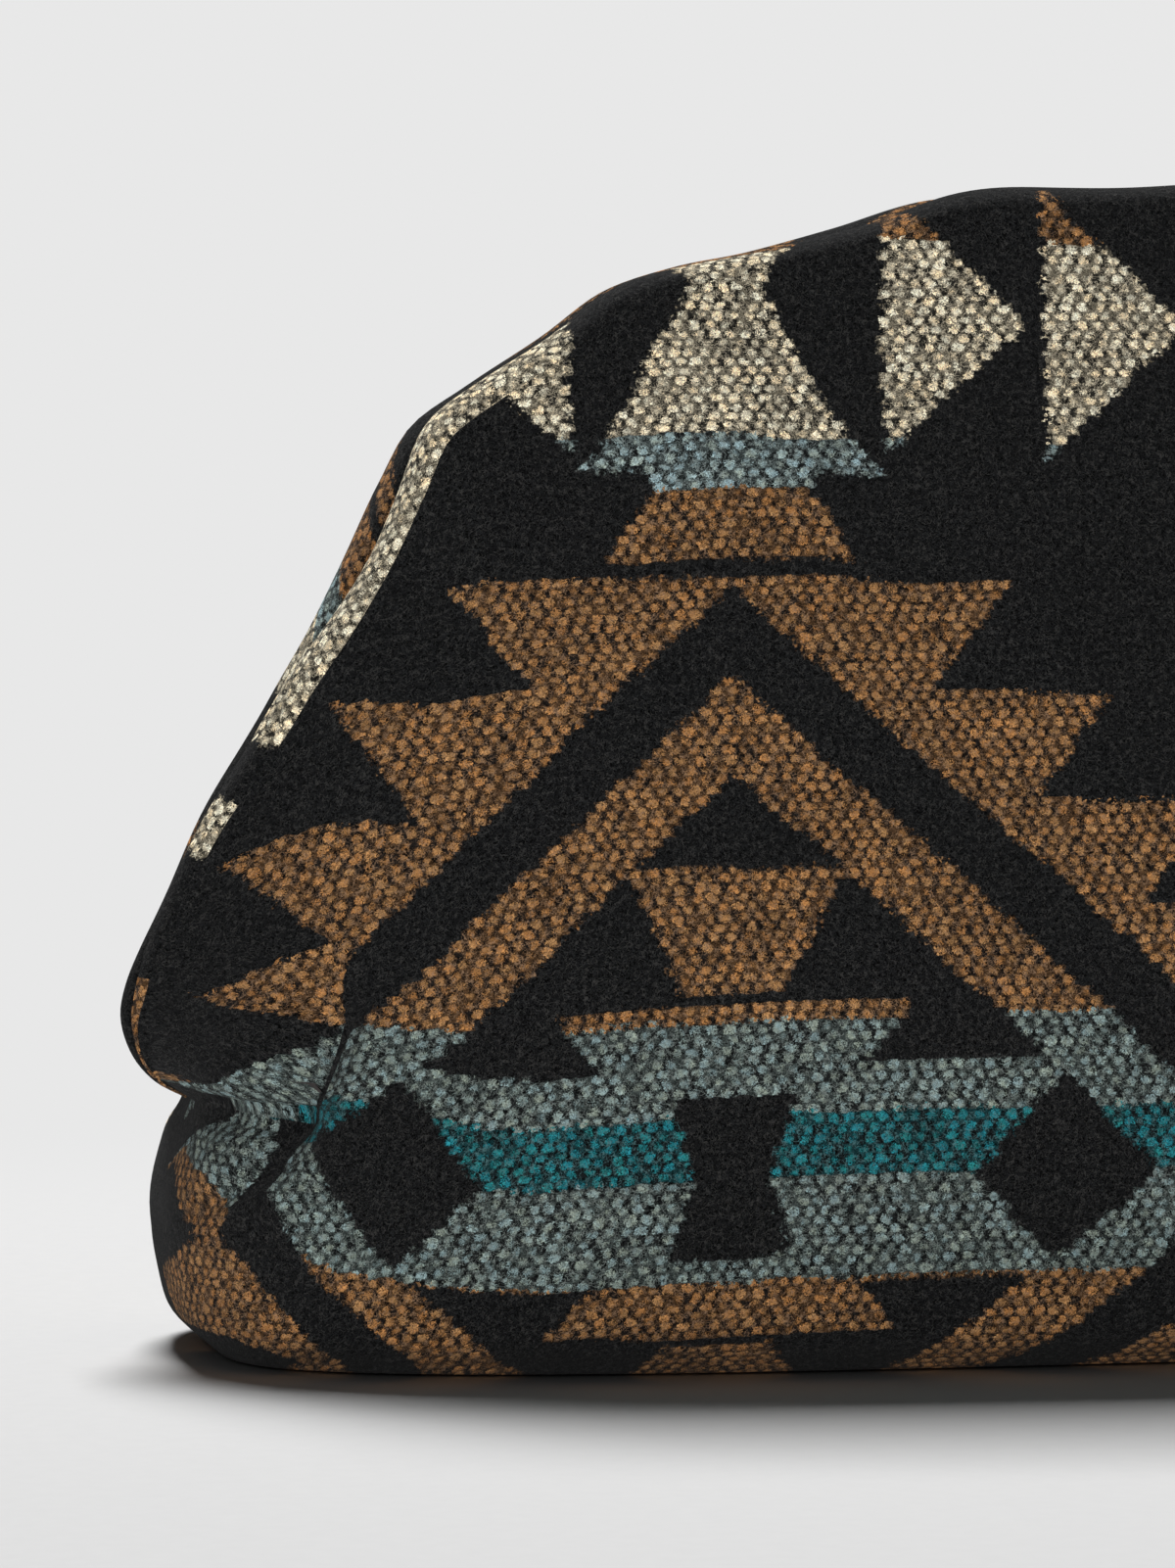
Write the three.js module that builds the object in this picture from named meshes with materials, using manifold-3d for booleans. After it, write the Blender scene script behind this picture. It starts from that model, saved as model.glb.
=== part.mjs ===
// A pouch clutch bag in thick wool cloth on a hidden, hinged steel frame.
// Millimetres, +Z up, X along the mouth. The front of the bag faces -Y, and the bag stands on z = 0.
// The two frame halves turn on rivets along X. Each carries one upper panel of the bag,
// and the lower cloth is a tub whose lip laps inside the panels, so that they pass it as they open.
import * as THREE from "three";
import { mergeVertices } from "three/addons/utils/BufferGeometryUtils.js";
import Module from "manifold-3d";

// Outline of the mouth, seen from the front
const WIDTH = 376; // over the lobes beside the hinges
const HEIGHT = 175; // floor to the crown of the mouth
const SHOULDER_X = WIDTH * 0.3684; // where the leg of the outline meets the shoulder
const SHOULDER_Z = HEIGHT - 28.5;
const CROWN_X = WIDTH * 0.1915; // where the shoulder meets the nearly flat top
const CROWN_DROP = 2;
const LOBE_Z = 51; // foot of the sloping leg
const SHOULDER_SETBACK = 20; // how far each bend of the outline starts from its corner
const CROWN_SETBACK = 24;
const LOBE_SETBACK = 1.2;
const TOP_SETBACK = CROWN_X * 0.6;

// Hinge
const HINGE_Z = 44;
const OPEN_ANGLE = THREE.MathUtils.degToRad(32); // each half turns out this far
const RIVET_RADIUS = 1.8;
const RIVET_HEAD_RADIUS = 3.4;
const RIVET_HEAD = 1.2;
const RIVET_EDGE = 0.6; // chamfer round each head
const EYE_RADIUS = 5;
const EYE_FROM = Math.PI * 1.2; // the eye's round edge runs between these angles
const EYE_TO = Math.PI * 2.25;
const EYE_CLEARANCE = 0.25; // round the rivet's shank
const TAB_LENGTH = 22; // flat end of each frame leg, above the hinge

// Cloth, lining and clearances
const CLOTH = 2.5; // wool, wadding and interlining together
const LINING = 0.8;
const GAP = 0.3; // between pieces that touch on the real bag
const LAP_GAP = 0.6; // between the lip of the tub and a panel that passes it
const LINING_GAP = 0.4;
const LINING_SEAM = 1.6; // the lining is sewn to the hem this far from its edge
const LINING_TURN = 0.55; // where the lining bends on its way from the face to that seam

// Mouth: cloth rolled over the frame and turned in
const ROLL_DEPTH = 12.1; // front to back over one half's rolled edge
const ROLL_RADIUS = 5;
const HEM = 20; // turned in at the top
const HEM_FOOT = 5.5; // turned in beside the hinge
const FOOT_DEPTH = 6.2; // roll depth beside the hinge
const FOOT_RISE = 5.5; // the panel's cloth starts this far above the hinge line
const ROLL_TAPER = 14; // height over which the roll reaches its full depth
const ROLL_SHARE = 0.48; // most of a thin roll's depth that its radius takes

// Frame bands
const BAND_THICKNESS = 1.6;
const BAND_INSET = 4.3; // from the outline to the band's outer face
const BAND_GAP = 0.5; // between the band's edges and the cloth

// Tub: lower cloth
const DEPTH = 110; // over the bulge
const BULGE_Z = 26;
const BULGE_LENGTH = WIDTH - 8;
const WAIST_Z = 40; // pinch below the hinge
const WAIST_LENGTH = WIDTH - 15;
const RIM_DEPTH = DEPTH - 1; // at the height of the hinge
const CORNER_Z = 9; // half way round the bottom edge
const CORNER_LENGTH = WIDTH - 17;
const CORNER_DEPTH = DEPTH - 10;
const CORNER_RISE = 3; // least height of that place over the floor of an inner layer
const FLOOR_LENGTH = WIDTH - 34; // flat that the bag stands on
const FLOOR_DEPTH = DEPTH - 32;
const FLOOR_SQUARENESS = 5; // exponents of the plan outlines, 2 being an ellipse
const BULGE_SQUARENESS = 4;
const WAIST_SQUARENESS = 2.8;
const RIM_SQUARENESS = 2.6;

// Lap between tub and panels
const LAP_RADIUS = DEPTH / 2 + 4.4; // from the hinge line at the middle of the bag
const LAP_ANGLE = OPEN_ANGLE + THREE.MathUtils.degToRad(5);
const LAP_BEVEL = THREE.MathUtils.degToRad(6);
const LAP_STARTS = 0.4; // share of the full lap radius at which the tub's lip starts to rise
const LAP_FULL = 0.46;
const BELLY = 1.25; // how much the front stays out before it leans in

// Side gussets, folded between the tub and the panels beside each hinge
const GUSSET_TURN = THREE.MathUtils.degToRad(18.5); // half the stretch of rim that one covers
const GUSSET_RISE = 4.4; // above the hinge, between the two rolled edges

// Stiffener, magnets
const BOARD_MARGIN = 3; // from the edge of the tub's flat floor
const BOARD_THICKNESS = 2;
const MAGNET_RADIUS = 5;
const MAGNET_THICKNESS = 2;
const MAGNET_SHARE = 0.41; // place of a magnet along the outline
const MAGNET_DROP = 12.4; // below the outline

// Facets
const WELD = 1e-4; // points closer than this are one
const OUTLINE_END = 0.003; // share of the outline that is left out at each foot
const PANEL_COLUMNS = 36;
const FACE_ROWS = 7;
const ROLL_STEPS = 3; // for each quarter turn of the roll
const BAND_COLUMNS = 52;
const TUB_COLUMNS = 56;
const TUB_ROWS = 8;
const LINING_TUB_ROWS = 5;
const LIP_ROWS = 2;
const GUSSET_COLUMNS = 10;
const LINING_END = 4; // columns of the panel that the lining leaves free at each side
const LINING_ROWS = 5;
const ROUND_SEGMENTS = 18;

const WOOL = new THREE.MeshStandardMaterial({ color: 0x3a3029, roughness: 0.95, metalness: 0 });
const TWILL = new THREE.MeshStandardMaterial({ color: 0x2b2726, roughness: 0.9, metalness: 0 });
const STEEL = new THREE.MeshStandardMaterial({ color: 0x9a9da0, roughness: 0.35, metalness: 1 });
const BRASS = new THREE.MeshStandardMaterial({ color: 0xb0905a, roughness: 0.4, metalness: 1 });
const BOARD = new THREE.MeshStandardMaterial({ color: 0x8d857a, roughness: 0.9, metalness: 0 });

const wasm = await Module();
wasm.setup();

const { lerp, smoothstep } = THREE.MathUtils;
const steps = (count) => Array.from({ length: count + 1 }, (_, i) => i / count);

// A solid from an indexed geometry, and back
function weld(geometry) {
  const bare = new THREE.BufferGeometry();
  bare.setAttribute("position", geometry.getAttribute("position"));
  bare.setIndex(geometry.index);
  const merged = mergeVertices(bare, WELD);
  const index = merged.index.array;
  const kept = [];
  for (let i = 0; i < index.length; i += 3) {
    const [a, b, c] = [index[i], index[i + 1], index[i + 2]];
    if (a !== b && b !== c && c !== a) kept.push(a, b, c);
  }
  merged.setIndex(kept);
  return merged;
}

function solidOf(geometry) {
  const welded = weld(geometry);
  return new wasm.Manifold(
    new wasm.Mesh({
      numProp: 3,
      vertProperties: welded.attributes.position.array,
      triVerts: new Uint32Array(welded.index.array),
    }),
  );
}

function geometryOf(solid) {
  const { vertProperties, triVerts } = solid.getMesh();
  const geometry = new THREE.BufferGeometry();
  geometry.setAttribute("position", new THREE.BufferAttribute(vertProperties, 3));
  geometry.setIndex(new THREE.BufferAttribute(triVerts, 1));
  return geometry;
}

// A closed sheet between an outer and an inner grid of points, both lists of columns.
// A ring of columns closes on itself, and a row whose points are all one point is a pole.
function thickSheet(outer, inner, ring = false) {
  const rows = outer[0].length;
  const points = [...outer.flat(), ...inner.flat()];
  const inside = outer.length * rows;
  const index = [];
  const quad = (a, b, c, d) => index.push(a, b, c, a, c, d);
  const at = (column, row) => (column % outer.length) * rows + row;
  const columns = ring ? outer.length : outer.length - 1;
  for (let i = 0; i < columns; i++) {
    for (let j = 0; j < rows - 1; j++) {
      const [a, b, c, d] = [at(i, j), at(i + 1, j), at(i + 1, j + 1), at(i, j + 1)];
      quad(a, b, c, d);
      quad(inside + d, inside + c, inside + b, inside + a);
    }
    const [foot, nextFoot] = [at(i, 0), at(i + 1, 0)];
    const [head, nextHead] = [at(i, rows - 1), at(i + 1, rows - 1)];
    quad(nextFoot, foot, inside + foot, inside + nextFoot);
    quad(head, nextHead, inside + nextHead, inside + head);
  }
  if (!ring) {
    for (let j = 0; j < rows - 1; j++) {
      const [a, b] = [at(0, j), at(0, j + 1)];
      const [c, d] = [at(columns, j), at(columns, j + 1)];
      quad(a, b, inside + b, inside + a);
      quad(d, c, inside + c, inside + d);
    }
  }
  const geometry = new THREE.BufferGeometry().setFromPoints(points);
  geometry.setIndex(index);
  return weld(geometry);
}

// The same piece on the other half of the bag
function mirrored(geometry) {
  const copy = geometry.clone().scale(1, -1, 1);
  const index = copy.index.array;
  for (let i = 0; i < index.length; i += 3) [index[i], index[i + 1]] = [index[i + 1], index[i]];
  return copy;
}

// The mouth's outline as a path in x and z, from the left hinge over the top to the right
function outlinePath() {
  const bow = TOP_SETBACK / (2 * CROWN_X); // share of the crown's corner that its bend cuts off
  const half = [
    [WIDTH / 2, HINGE_Z + FOOT_RISE, 0],
    [WIDTH / 2, LOBE_Z, LOBE_SETBACK],
    [SHOULDER_X, SHOULDER_Z, SHOULDER_SETBACK],
    [CROWN_X, HEIGHT - CROWN_DROP, CROWN_SETBACK],
  ];
  const corners = [
    ...half.map(([x, z, setback]) => ({ at: new THREE.Vector2(-x, z), setback })),
    { at: new THREE.Vector2(0, HEIGHT + (CROWN_DROP * bow) / (1 - bow)), setback: TOP_SETBACK },
    ...half.reverse().map(([x, z, setback]) => ({ at: new THREE.Vector2(x, z), setback })),
  ];
  const path = new THREE.CurvePath();
  let from = corners[0].at;
  for (let i = 1; i < corners.length; i++) {
    const { at, setback } = corners[i];
    const towards = (other) => other.clone().sub(at).setLength(setback).add(at);
    const bend = towards(corners[i - 1].at);
    path.add(new THREE.LineCurve(from, bend));
    if (i === corners.length - 1) break;
    from = towards(corners[i + 1].at);
    path.add(new THREE.QuadraticBezierCurve(bend, at, from));
  }
  return path;
}

const outline = outlinePath();

// A place beside the outline: share is the way along it, inset is towards the inside of the bag
function besideOutline(share, inset, y) {
  const along = THREE.MathUtils.clamp(share, OUTLINE_END, 1 - OUTLINE_END);
  const at = outline.getPoint(along);
  const tangent = outline.getTangent(along);
  return new THREE.Vector3(at.x + tangent.y * inset, y, at.y - tangent.x * inset);
}

// How deep the rolled edge is at a share of the outline: it narrows beside the hinge
function rollDepth(share) {
  const rise = besideOutline(share, 0, 0).z - (HINGE_Z + FOOT_RISE);
  return lerp(FOOT_DEPTH, ROLL_DEPTH, smoothstep(rise, 0, ROLL_TAPER));
}

function hemDepth(share) {
  const rise = besideOutline(share, 0, 0).z - (HINGE_Z + FOOT_RISE);
  return lerp(HEM_FOOT, HEM, smoothstep(rise, ROLL_TAPER, HEIGHT / 2));
}

const rollRadius = (share) => Math.min(ROLL_RADIUS, (rollDepth(share) - GAP) * ROLL_SHARE);

// The surface of revolution about the hinge line that parts the panels from the tub
const FOOT_RADIUS = Math.hypot(FOOT_DEPTH, FOOT_RISE);
const FOOT_ANGLE = Math.atan2(FOOT_RISE, FOOT_DEPTH);
const LAP_X = WIDTH / 2 - rollRadius(0);
const lapShare = (x) => Math.sqrt(Math.max(0, 1 - (x / LAP_X) ** 2));
const lapRadius = (x) => lerp(FOOT_RADIUS, LAP_RADIUS, lapShare(x));
const aboutHinge = (x, radius, angle) =>
  new THREE.Vector3(x, -radius * Math.cos(angle), HINGE_Z + radius * Math.sin(angle));

// One column of a panel: share runs along the mouth, depth is 0 for the outer face of the cloth
function panelColumn(share, depth) {
  const x = -LAP_X * Math.cos(Math.PI * share);
  const lap = lapShare(x);
  const angle = lerp(FOOT_ANGLE, LAP_ANGLE, smoothstep(lap, 0, LAP_STARTS));
  const foot = aboutHinge(x, lapRadius(x), angle);
  const bevelled = aboutHinge(x, lapRadius(x), angle + LAP_BEVEL);
  const start = depth
    ? foot.clone().setY(foot.y + depth).lerp(bevelled, smoothstep(lap, 0, LAP_STARTS))
    : foot;
  const radius = rollRadius(share);
  const roll = rollDepth(share);
  const ridge = besideOutline(share, radius, -roll + depth);
  const column = steps(FACE_ROWS).map((t) => {
    const point = start.clone().lerp(ridge, t);
    point.y = lerp(start.y, ridge.y, t ** BELLY);
    return point;
  });
  for (const t of steps(ROLL_STEPS).slice(1)) {
    const turn = (t * Math.PI) / 2;
    const inset = radius - (radius - depth) * Math.sin(turn);
    column.push(besideOutline(share, inset, -roll + radius - (radius - depth) * Math.cos(turn)));
  }
  for (const t of steps(ROLL_STEPS)) {
    const turn = (t * Math.PI) / 2;
    const inset = radius - (radius - depth) * Math.cos(turn);
    column.push(besideOutline(share, inset, -GAP - radius + (radius - depth) * Math.sin(turn)));
  }
  column.push(besideOutline(share, hemDepth(share), -GAP - depth));
  return column;
}

function panelGeometry() {
  const shares = steps(PANEL_COLUMNS);
  return thickSheet(
    shares.map((share) => panelColumn(share, 0)),
    shares.map((share) => panelColumn(share, CLOTH)),
  );
}

// The lining of one half lies on the panel's inner face and turns in to the hem.
// Its columns run from the right, with the side that shows inside the bag as the outer grid.
function liningGeometry() {
  const shares = steps(PANEL_COLUMNS).slice(LINING_END, -LINING_END).reverse();
  const layer = (depth) =>
    shares.map((share) => {
      const face = panelColumn(share, CLOTH).slice(1, LINING_ROWS + 1);
      const column = face.map((p) => p.clone().setY(p.y + LINING_GAP + depth));
      const hem = hemDepth(share);
      const seam = besideOutline(share, hem - LINING_SEAM, -2 * GAP - CLOTH - LINING + depth);
      const last = column[column.length - 1];
      column.push(last.clone().lerp(seam, LINING_TURN), seam);
      return column;
    });
  return thickSheet(layer(LINING), layer(0));
}

// A bent strip of steel inside the roll, with a flat eye at each hinge
const RIVET_FACE = WAIST_LENGTH / 2 - CLOTH - LINING_GAP - LINING - GAP; // outer end of its head
const FRONT_EYE_X = RIVET_FACE - RIVET_HEAD - GAP - BAND_THICKNESS / 2;
const BACK_EYE_X = FRONT_EYE_X - BAND_THICKNESS - GAP;
const BAND_NEAR = -(GAP + CLOTH + BAND_GAP);
const BAND_FAR = -(ROLL_DEPTH - CLOTH - BAND_GAP);

function frameGeometry(eyeX) {
  const shares = steps(BAND_COLUMNS);
  const face = (inset, widest) =>
    shares.map((share) =>
      [BAND_FAR, BAND_NEAR].map((y) => {
        const point = besideOutline(share, inset, y);
        point.x = THREE.MathUtils.clamp(point.x, -widest, widest);
        return point;
      }),
    );
  const band = thickSheet(
    face(BAND_INSET, eyeX + BAND_THICKNESS / 2),
    face(BAND_INSET + BAND_THICKNESS, eyeX - BAND_THICKNESS / 2),
  );
  const tab = new THREE.Shape();
  tab.moveTo(BAND_NEAR, TAB_LENGTH);
  tab.lineTo(BAND_FAR, TAB_LENGTH);
  tab.lineTo(BAND_FAR, EYE_RADIUS);
  tab.absarc(0, 0, EYE_RADIUS, EYE_FROM, EYE_TO, false);
  tab.lineTo(BAND_NEAR, EYE_RADIUS * 2);
  tab.closePath();
  const hole = new THREE.Path();
  hole.absarc(0, 0, RIVET_RADIUS + EYE_CLEARANCE, 0, Math.PI * 2, true);
  tab.holes.push(hole);
  let frame = solidOf(band);
  for (const side of [-1, 1]) {
    const plate = new THREE.ExtrudeGeometry(tab, {
      depth: BAND_THICKNESS,
      bevelEnabled: false,
      curveSegments: ROUND_SEGMENTS / 2,
    });
    plate.translate(0, 0, -BAND_THICKNESS / 2);
    // The tab is drawn in y and z, so its own z becomes x
    const turned = new THREE.Matrix4().set(0, 0, 1, side * eyeX, 1, 0, 0, 0, 0, 1, 0, HINGE_Z, 0, 0, 0, 1);
    plate.applyMatrix4(turned);
    plate.setIndex(Array.from({ length: plate.attributes.position.count }, (_, i) => i));
    frame = frame.add(solidOf(plate));
  }
  return geometryOf(frame);
}

// A rivet through both eyes, with a head at each end, along X
function rivetGeometry() {
  const length = RIVET_FACE - (BACK_EYE_X - BAND_THICKNESS / 2 - GAP - RIVET_HEAD);
  const profile = [
    [0, 0],
    [RIVET_HEAD_RADIUS - RIVET_EDGE, 0],
    [RIVET_HEAD_RADIUS, RIVET_EDGE],
    [RIVET_HEAD_RADIUS, RIVET_HEAD],
    [RIVET_RADIUS, RIVET_HEAD],
    [RIVET_RADIUS, length - RIVET_HEAD],
    [RIVET_HEAD_RADIUS, length - RIVET_HEAD],
    [RIVET_HEAD_RADIUS, length - RIVET_EDGE],
    [RIVET_HEAD_RADIUS - RIVET_EDGE, length],
    [0, length],
  ];
  const points = profile.map(([radius, along]) => new THREE.Vector2(radius, along));
  return new THREE.LatheGeometry(points, ROUND_SEGMENTS).rotateZ(-Math.PI / 2);
}

// Plan outline of the tub at one height: a rounded oblong
function tubPoint(turn, length, depth, squareness, z) {
  const power = 2 / squareness;
  const x = -Math.sign(Math.cos(turn)) * Math.abs(Math.cos(turn)) ** power * (length / 2);
  const y = -Math.sign(Math.sin(turn)) * Math.abs(Math.sin(turn)) ** power * (depth / 2);
  return new THREE.Vector3(x, y, z);
}

const rimPoint = (turn, inset) =>
  tubPoint(turn, WAIST_LENGTH - 2 * inset, RIM_DEPTH - 2 * inset, RIM_SQUARENESS, HINGE_Z);

// One column of the tub, from the middle of its floor up to its rim
function tubColumn(turn, inset, rows) {
  const trim = 2 * inset;
  const floor = tubPoint(turn, FLOOR_LENGTH - trim, FLOOR_DEPTH - trim, FLOOR_SQUARENESS, inset);
  const corner = tubPoint(turn, CORNER_LENGTH - trim, CORNER_DEPTH - trim, FLOOR_SQUARENESS, CORNER_Z);
  const bulge = tubPoint(turn, BULGE_LENGTH - trim, DEPTH - trim, BULGE_SQUARENESS, BULGE_Z);
  const waist = tubPoint(turn, WAIST_LENGTH - trim, DEPTH - trim, WAIST_SQUARENESS, WAIST_Z);
  const rim = rimPoint(turn, inset);
  corner.z = Math.max(CORNER_Z, inset + CORNER_RISE);
  const side = new THREE.CatmullRomCurve3([floor, corner, bulge, waist, rim], false, "centripetal");
  return [new THREE.Vector3(0, 0, inset), ...side.getPoints(rows)];
}

// The tub's lip rises from the rim inside the panels, lapping them away from the hinges
function lipPoints(rim, bevel) {
  const lap = lapShare(rim.x);
  const rise = smoothstep(lap, LAP_STARTS, LAP_FULL);
  const side = rim.y > 0 ? -1 : 1;
  const rimRadius = Math.abs(rim.y);
  return steps(LIP_ROWS).slice(1).map((t) => {
    const radius = lerp(rimRadius, lapRadius(rim.x) - LAP_GAP, t * rise);
    const point = aboutHinge(rim.x, radius, t * rise * (LAP_ANGLE + bevel));
    return point.setY(point.y * side);
  });
}

function tubGeometry() {
  const turns = steps(TUB_COLUMNS).slice(0, -1).map((t) => t * 2 * Math.PI);
  const layer = (inset, bevel) =>
    turns.map((turn) => {
      const column = tubColumn(turn, inset, TUB_ROWS);
      return [...column, ...lipPoints(column[column.length - 1], bevel)];
    });
  return thickSheet(layer(0, 0), layer(CLOTH, LAP_BEVEL), true);
}

// A side gusset stands on the rim round one end and fills the notch under the panels
function gussetGeometry(side) {
  const turns = steps(GUSSET_COLUMNS).map((t) => lerp(-GUSSET_TURN, GUSSET_TURN, t));
  const layer = (inset) =>
    turns.map((turn) => {
      const foot = rimPoint(turn, inset).setZ(HINGE_Z + GAP);
      const reach = lapRadius(foot.x) * Math.cos(LAP_ANGLE) - LAP_GAP - inset;
      const y = Math.min(Math.abs(foot.y), reach);
      const rise = Math.max(GUSSET_RISE, (y + inset) * Math.tan(LAP_ANGLE) - LAP_GAP);
      const head = new THREE.Vector3(foot.x, Math.sign(foot.y) * y, HINGE_Z + rise);
      return [foot, head];
    });
  const sheet = thickSheet(layer(0), layer(CLOTH));
  return side < 0 ? sheet : sheet.rotateZ(Math.PI);
}

// The lower lining lies inside the tub, over the stiffener
const LINING_FLOOR = CLOTH + GAP + BOARD_THICKNESS + GAP;

function tubLiningGeometry() {
  const turns = steps(TUB_COLUMNS).slice(0, -1).map((t) => t * 2 * Math.PI);
  const layer = (depth) =>
    turns.map((turn) => {
      const inset = CLOTH + LINING_GAP + depth;
      const column = tubColumn(turn, inset, LINING_TUB_ROWS);
      const lift = LINING_FLOOR + depth - inset;
      return column.map((p) => p.setZ(p.z + lift * Math.max(0, 1 - (p.z - inset) / (BULGE_Z - inset))));
    });
  return thickSheet(layer(0), layer(LINING), true);
}

function boardGeometry() {
  const trim = 2 * (CLOTH + BOARD_MARGIN);
  const rim = steps(TUB_COLUMNS).slice(0, -1).map((t) => {
    const turn = t * 2 * Math.PI;
    return tubPoint(turn, FLOOR_LENGTH - trim, FLOOR_DEPTH - trim, FLOOR_SQUARENESS, 0);
  });
  const shape = new THREE.Shape(rim.map((p) => new THREE.Vector2(p.x, p.y)));
  return new THREE.ExtrudeGeometry(shape, { depth: BOARD_THICKNESS, bevelEnabled: false });
}

const bag = new THREE.Group();

function place(name, geometry, material, group = bag) {
  const mesh = new THREE.Mesh(geometry, material);
  mesh.name = name;
  group.add(mesh);
  return mesh;
}

// Tub
place("base_panel", tubGeometry(), WOOL);
place("base_lining", tubLiningGeometry(), TWILL);
place("base_board", boardGeometry(), BOARD).position.z = CLOTH + GAP;

// The two halves
const panel = panelGeometry();
const backLining = mirrored(liningGeometry());
const frontLining = backLining.clone().rotateZ(Math.PI);
const halves = [
  ["front", panel, frontLining, frameGeometry(FRONT_EYE_X)],
  ["back", mirrored(panel), backLining, mirrored(frameGeometry(BACK_EYE_X))],
];
for (const [half, cloth, inside, frame] of halves) {
  const group = new THREE.Group();
  bag.add(group);
  place(`${half}_panel`, cloth, WOOL, group);
  place(`${half}_lining`, inside, TWILL, group);
  place(`${half}_frame`, frame, STEEL, group);
  const y = (half === "front" ? -1 : 1) * (2 * GAP + CLOTH + MAGNET_THICKNESS / 2);
  for (const [side, share] of [["left", MAGNET_SHARE], ["right", 1 - MAGNET_SHARE]]) {
    const magnet = new THREE.CylinderGeometry(MAGNET_RADIUS, MAGNET_RADIUS, MAGNET_THICKNESS, ROUND_SEGMENTS);
    const mesh = place(`${half}_magnet_${side}`, magnet, STEEL, group);
    mesh.position.copy(besideOutline(share, MAGNET_DROP, y));
  }
}

// Hinge rivets and side gussets
for (const [side, sign] of [["left", -1], ["right", 1]]) {
  const rivet = place(`hinge_rivet_${side}`, rivetGeometry(), BRASS);
  rivet.position.set(sign * RIVET_FACE, 0, HINGE_Z);
  if (sign > 0) rivet.rotation.z = Math.PI;
  place(`${side}_gusset`, gussetGeometry(sign), WOOL);
}

export default bag;
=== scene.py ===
"""Dresses the clutch bag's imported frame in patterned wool, and sets the stage and the camera.

The outer cloth is one length of wool. It runs from the front of the mouth down the front, under
the base and up the back. Lengths in the shape functions are millimetres, and meshes are in metres.
"""

import math

import bpy
import numpy as np
from bpy.props import FloatProperty, FloatVectorProperty, PointerProperty
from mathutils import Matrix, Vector


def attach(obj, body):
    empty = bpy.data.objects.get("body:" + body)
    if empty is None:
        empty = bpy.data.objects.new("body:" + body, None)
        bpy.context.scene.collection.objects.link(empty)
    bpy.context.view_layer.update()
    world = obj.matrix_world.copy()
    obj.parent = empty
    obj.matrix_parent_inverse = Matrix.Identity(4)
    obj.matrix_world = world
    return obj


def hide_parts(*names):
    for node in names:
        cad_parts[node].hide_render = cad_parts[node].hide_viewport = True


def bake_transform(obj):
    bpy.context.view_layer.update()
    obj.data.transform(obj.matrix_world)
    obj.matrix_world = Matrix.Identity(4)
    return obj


bl_info = {
    "name": "Clutch bag in patterned wool",
    "version": (1, 0, 0),
    "blender": (4, 5, 0),
    "location": "View3D > Sidebar > Clutch bag",
    "description": "Wool cloth, linings, fittings and stage round the clutch bag's frame",
    "category": "Object",
}

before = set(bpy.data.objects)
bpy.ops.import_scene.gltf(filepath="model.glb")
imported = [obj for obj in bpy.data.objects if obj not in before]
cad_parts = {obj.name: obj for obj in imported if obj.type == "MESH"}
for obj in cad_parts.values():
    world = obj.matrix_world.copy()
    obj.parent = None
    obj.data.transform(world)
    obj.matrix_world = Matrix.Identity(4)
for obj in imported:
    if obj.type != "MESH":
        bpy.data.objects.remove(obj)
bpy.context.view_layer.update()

MM = 0.001
WEAVE_MAP = "weave"
FIGURE_MAP = "figure"

# Outline of the mouth, right half, from the pinch beside the hinge over the lobe to the crown
OUTLINE = (
    (179.2, 38.4), (183.4, 40.7), (186.7, 44.5), (188.4, 50.0), (187.8, 55.0), (185.7, 61.2),
    (181.0, 70.5), (176.0, 80.4), (170.1, 90.5), (164.2, 100.9), (158.0, 110.4), (152.4, 120.0),
    (147.7, 129.7), (143.2, 138.3), (134.7, 144.5), (123.2, 151.7), (113.6, 158.8), (103.0, 162.3),
    (91.6, 164.2), (78.1, 167.4), (63.5, 171.8), (46.0, 172.8), (24.0, 173.9), (0.0, 174.3),
)
# Plan outlines of the tub: half length, half depth, squareness, height at the ends and the middle
FLOOR_RING = (175.0, 43.0, 3.5, 0.4, 0.4)
CORNER_RING = (180.5, 50.8, 3.5, 6.0, 6.5)
BULGE_RING = (183.3, 55.0, 3.3, 20.0, 23.0)
SHELF_RING = (180.9, 55.2, 3.1, 31.0, 35.0)
CREASE_RING = (178.3, 54.6, 3.0, 38.2, 46.0)
TUB_RINGS = (FLOOR_RING, CORNER_RING, BULGE_RING, SHELF_RING, CREASE_RING)
# Shares along a ring, and along the mouth, both from the pinch to the middle
RING_KEYS = (0.0, 0.10, 0.20, 0.30, 0.40, 0.55, 1.0)
MOUTH_KEYS = (0.0, 0.055, 0.12, 0.25, 0.43, 0.60, 1.0)
# The face's guide lines, as shares of the way from crease to ridge, and how it bows out
FACE_SHARES = (0.10, 0.30, 0.55, 0.80)
FACE_BOW = 1.18
# Columns of points along a half, and rows from each guide line to the next
COLUMNS = 300
FLOOR_ROWS = 22
TUB_ROWS = (7, 14, 9, 9)
UPPER_ROWS = (8, 16, 22, 22, 18, 4, 4, 2, 4, 4, 8)
FACE_ROWS = sum(UPPER_ROWS[: len(FACE_SHARES)])
# Rows from the crease to the rolled edge, which starts two rows over the ridge
RIDGE_ROWS = sum(UPPER_ROWS[: len(FACE_SHARES) + 1]) + 2
# Rolled edge: hem to the middle plane, largest radius against depth, depths, and shortest hem
MOUTH_GAP = 0.3
ROLL_SHARE = 0.48
PINCH_DEPTH = 1.6
LOBE_DEPTH = 6.5
SHORT_HEM = 4.0
# Heights of the pinch, and where the edge deepens, the hem grows and the crown starts
PINCH_Z = 39.0
LOBE_Z = (PINCH_Z, 56.0)
FLANK_Z = (70.0, 112.0)
HEM_Z = (60.0, 90.0)
CROWN_Z = (128.0, 150.0)
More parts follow.
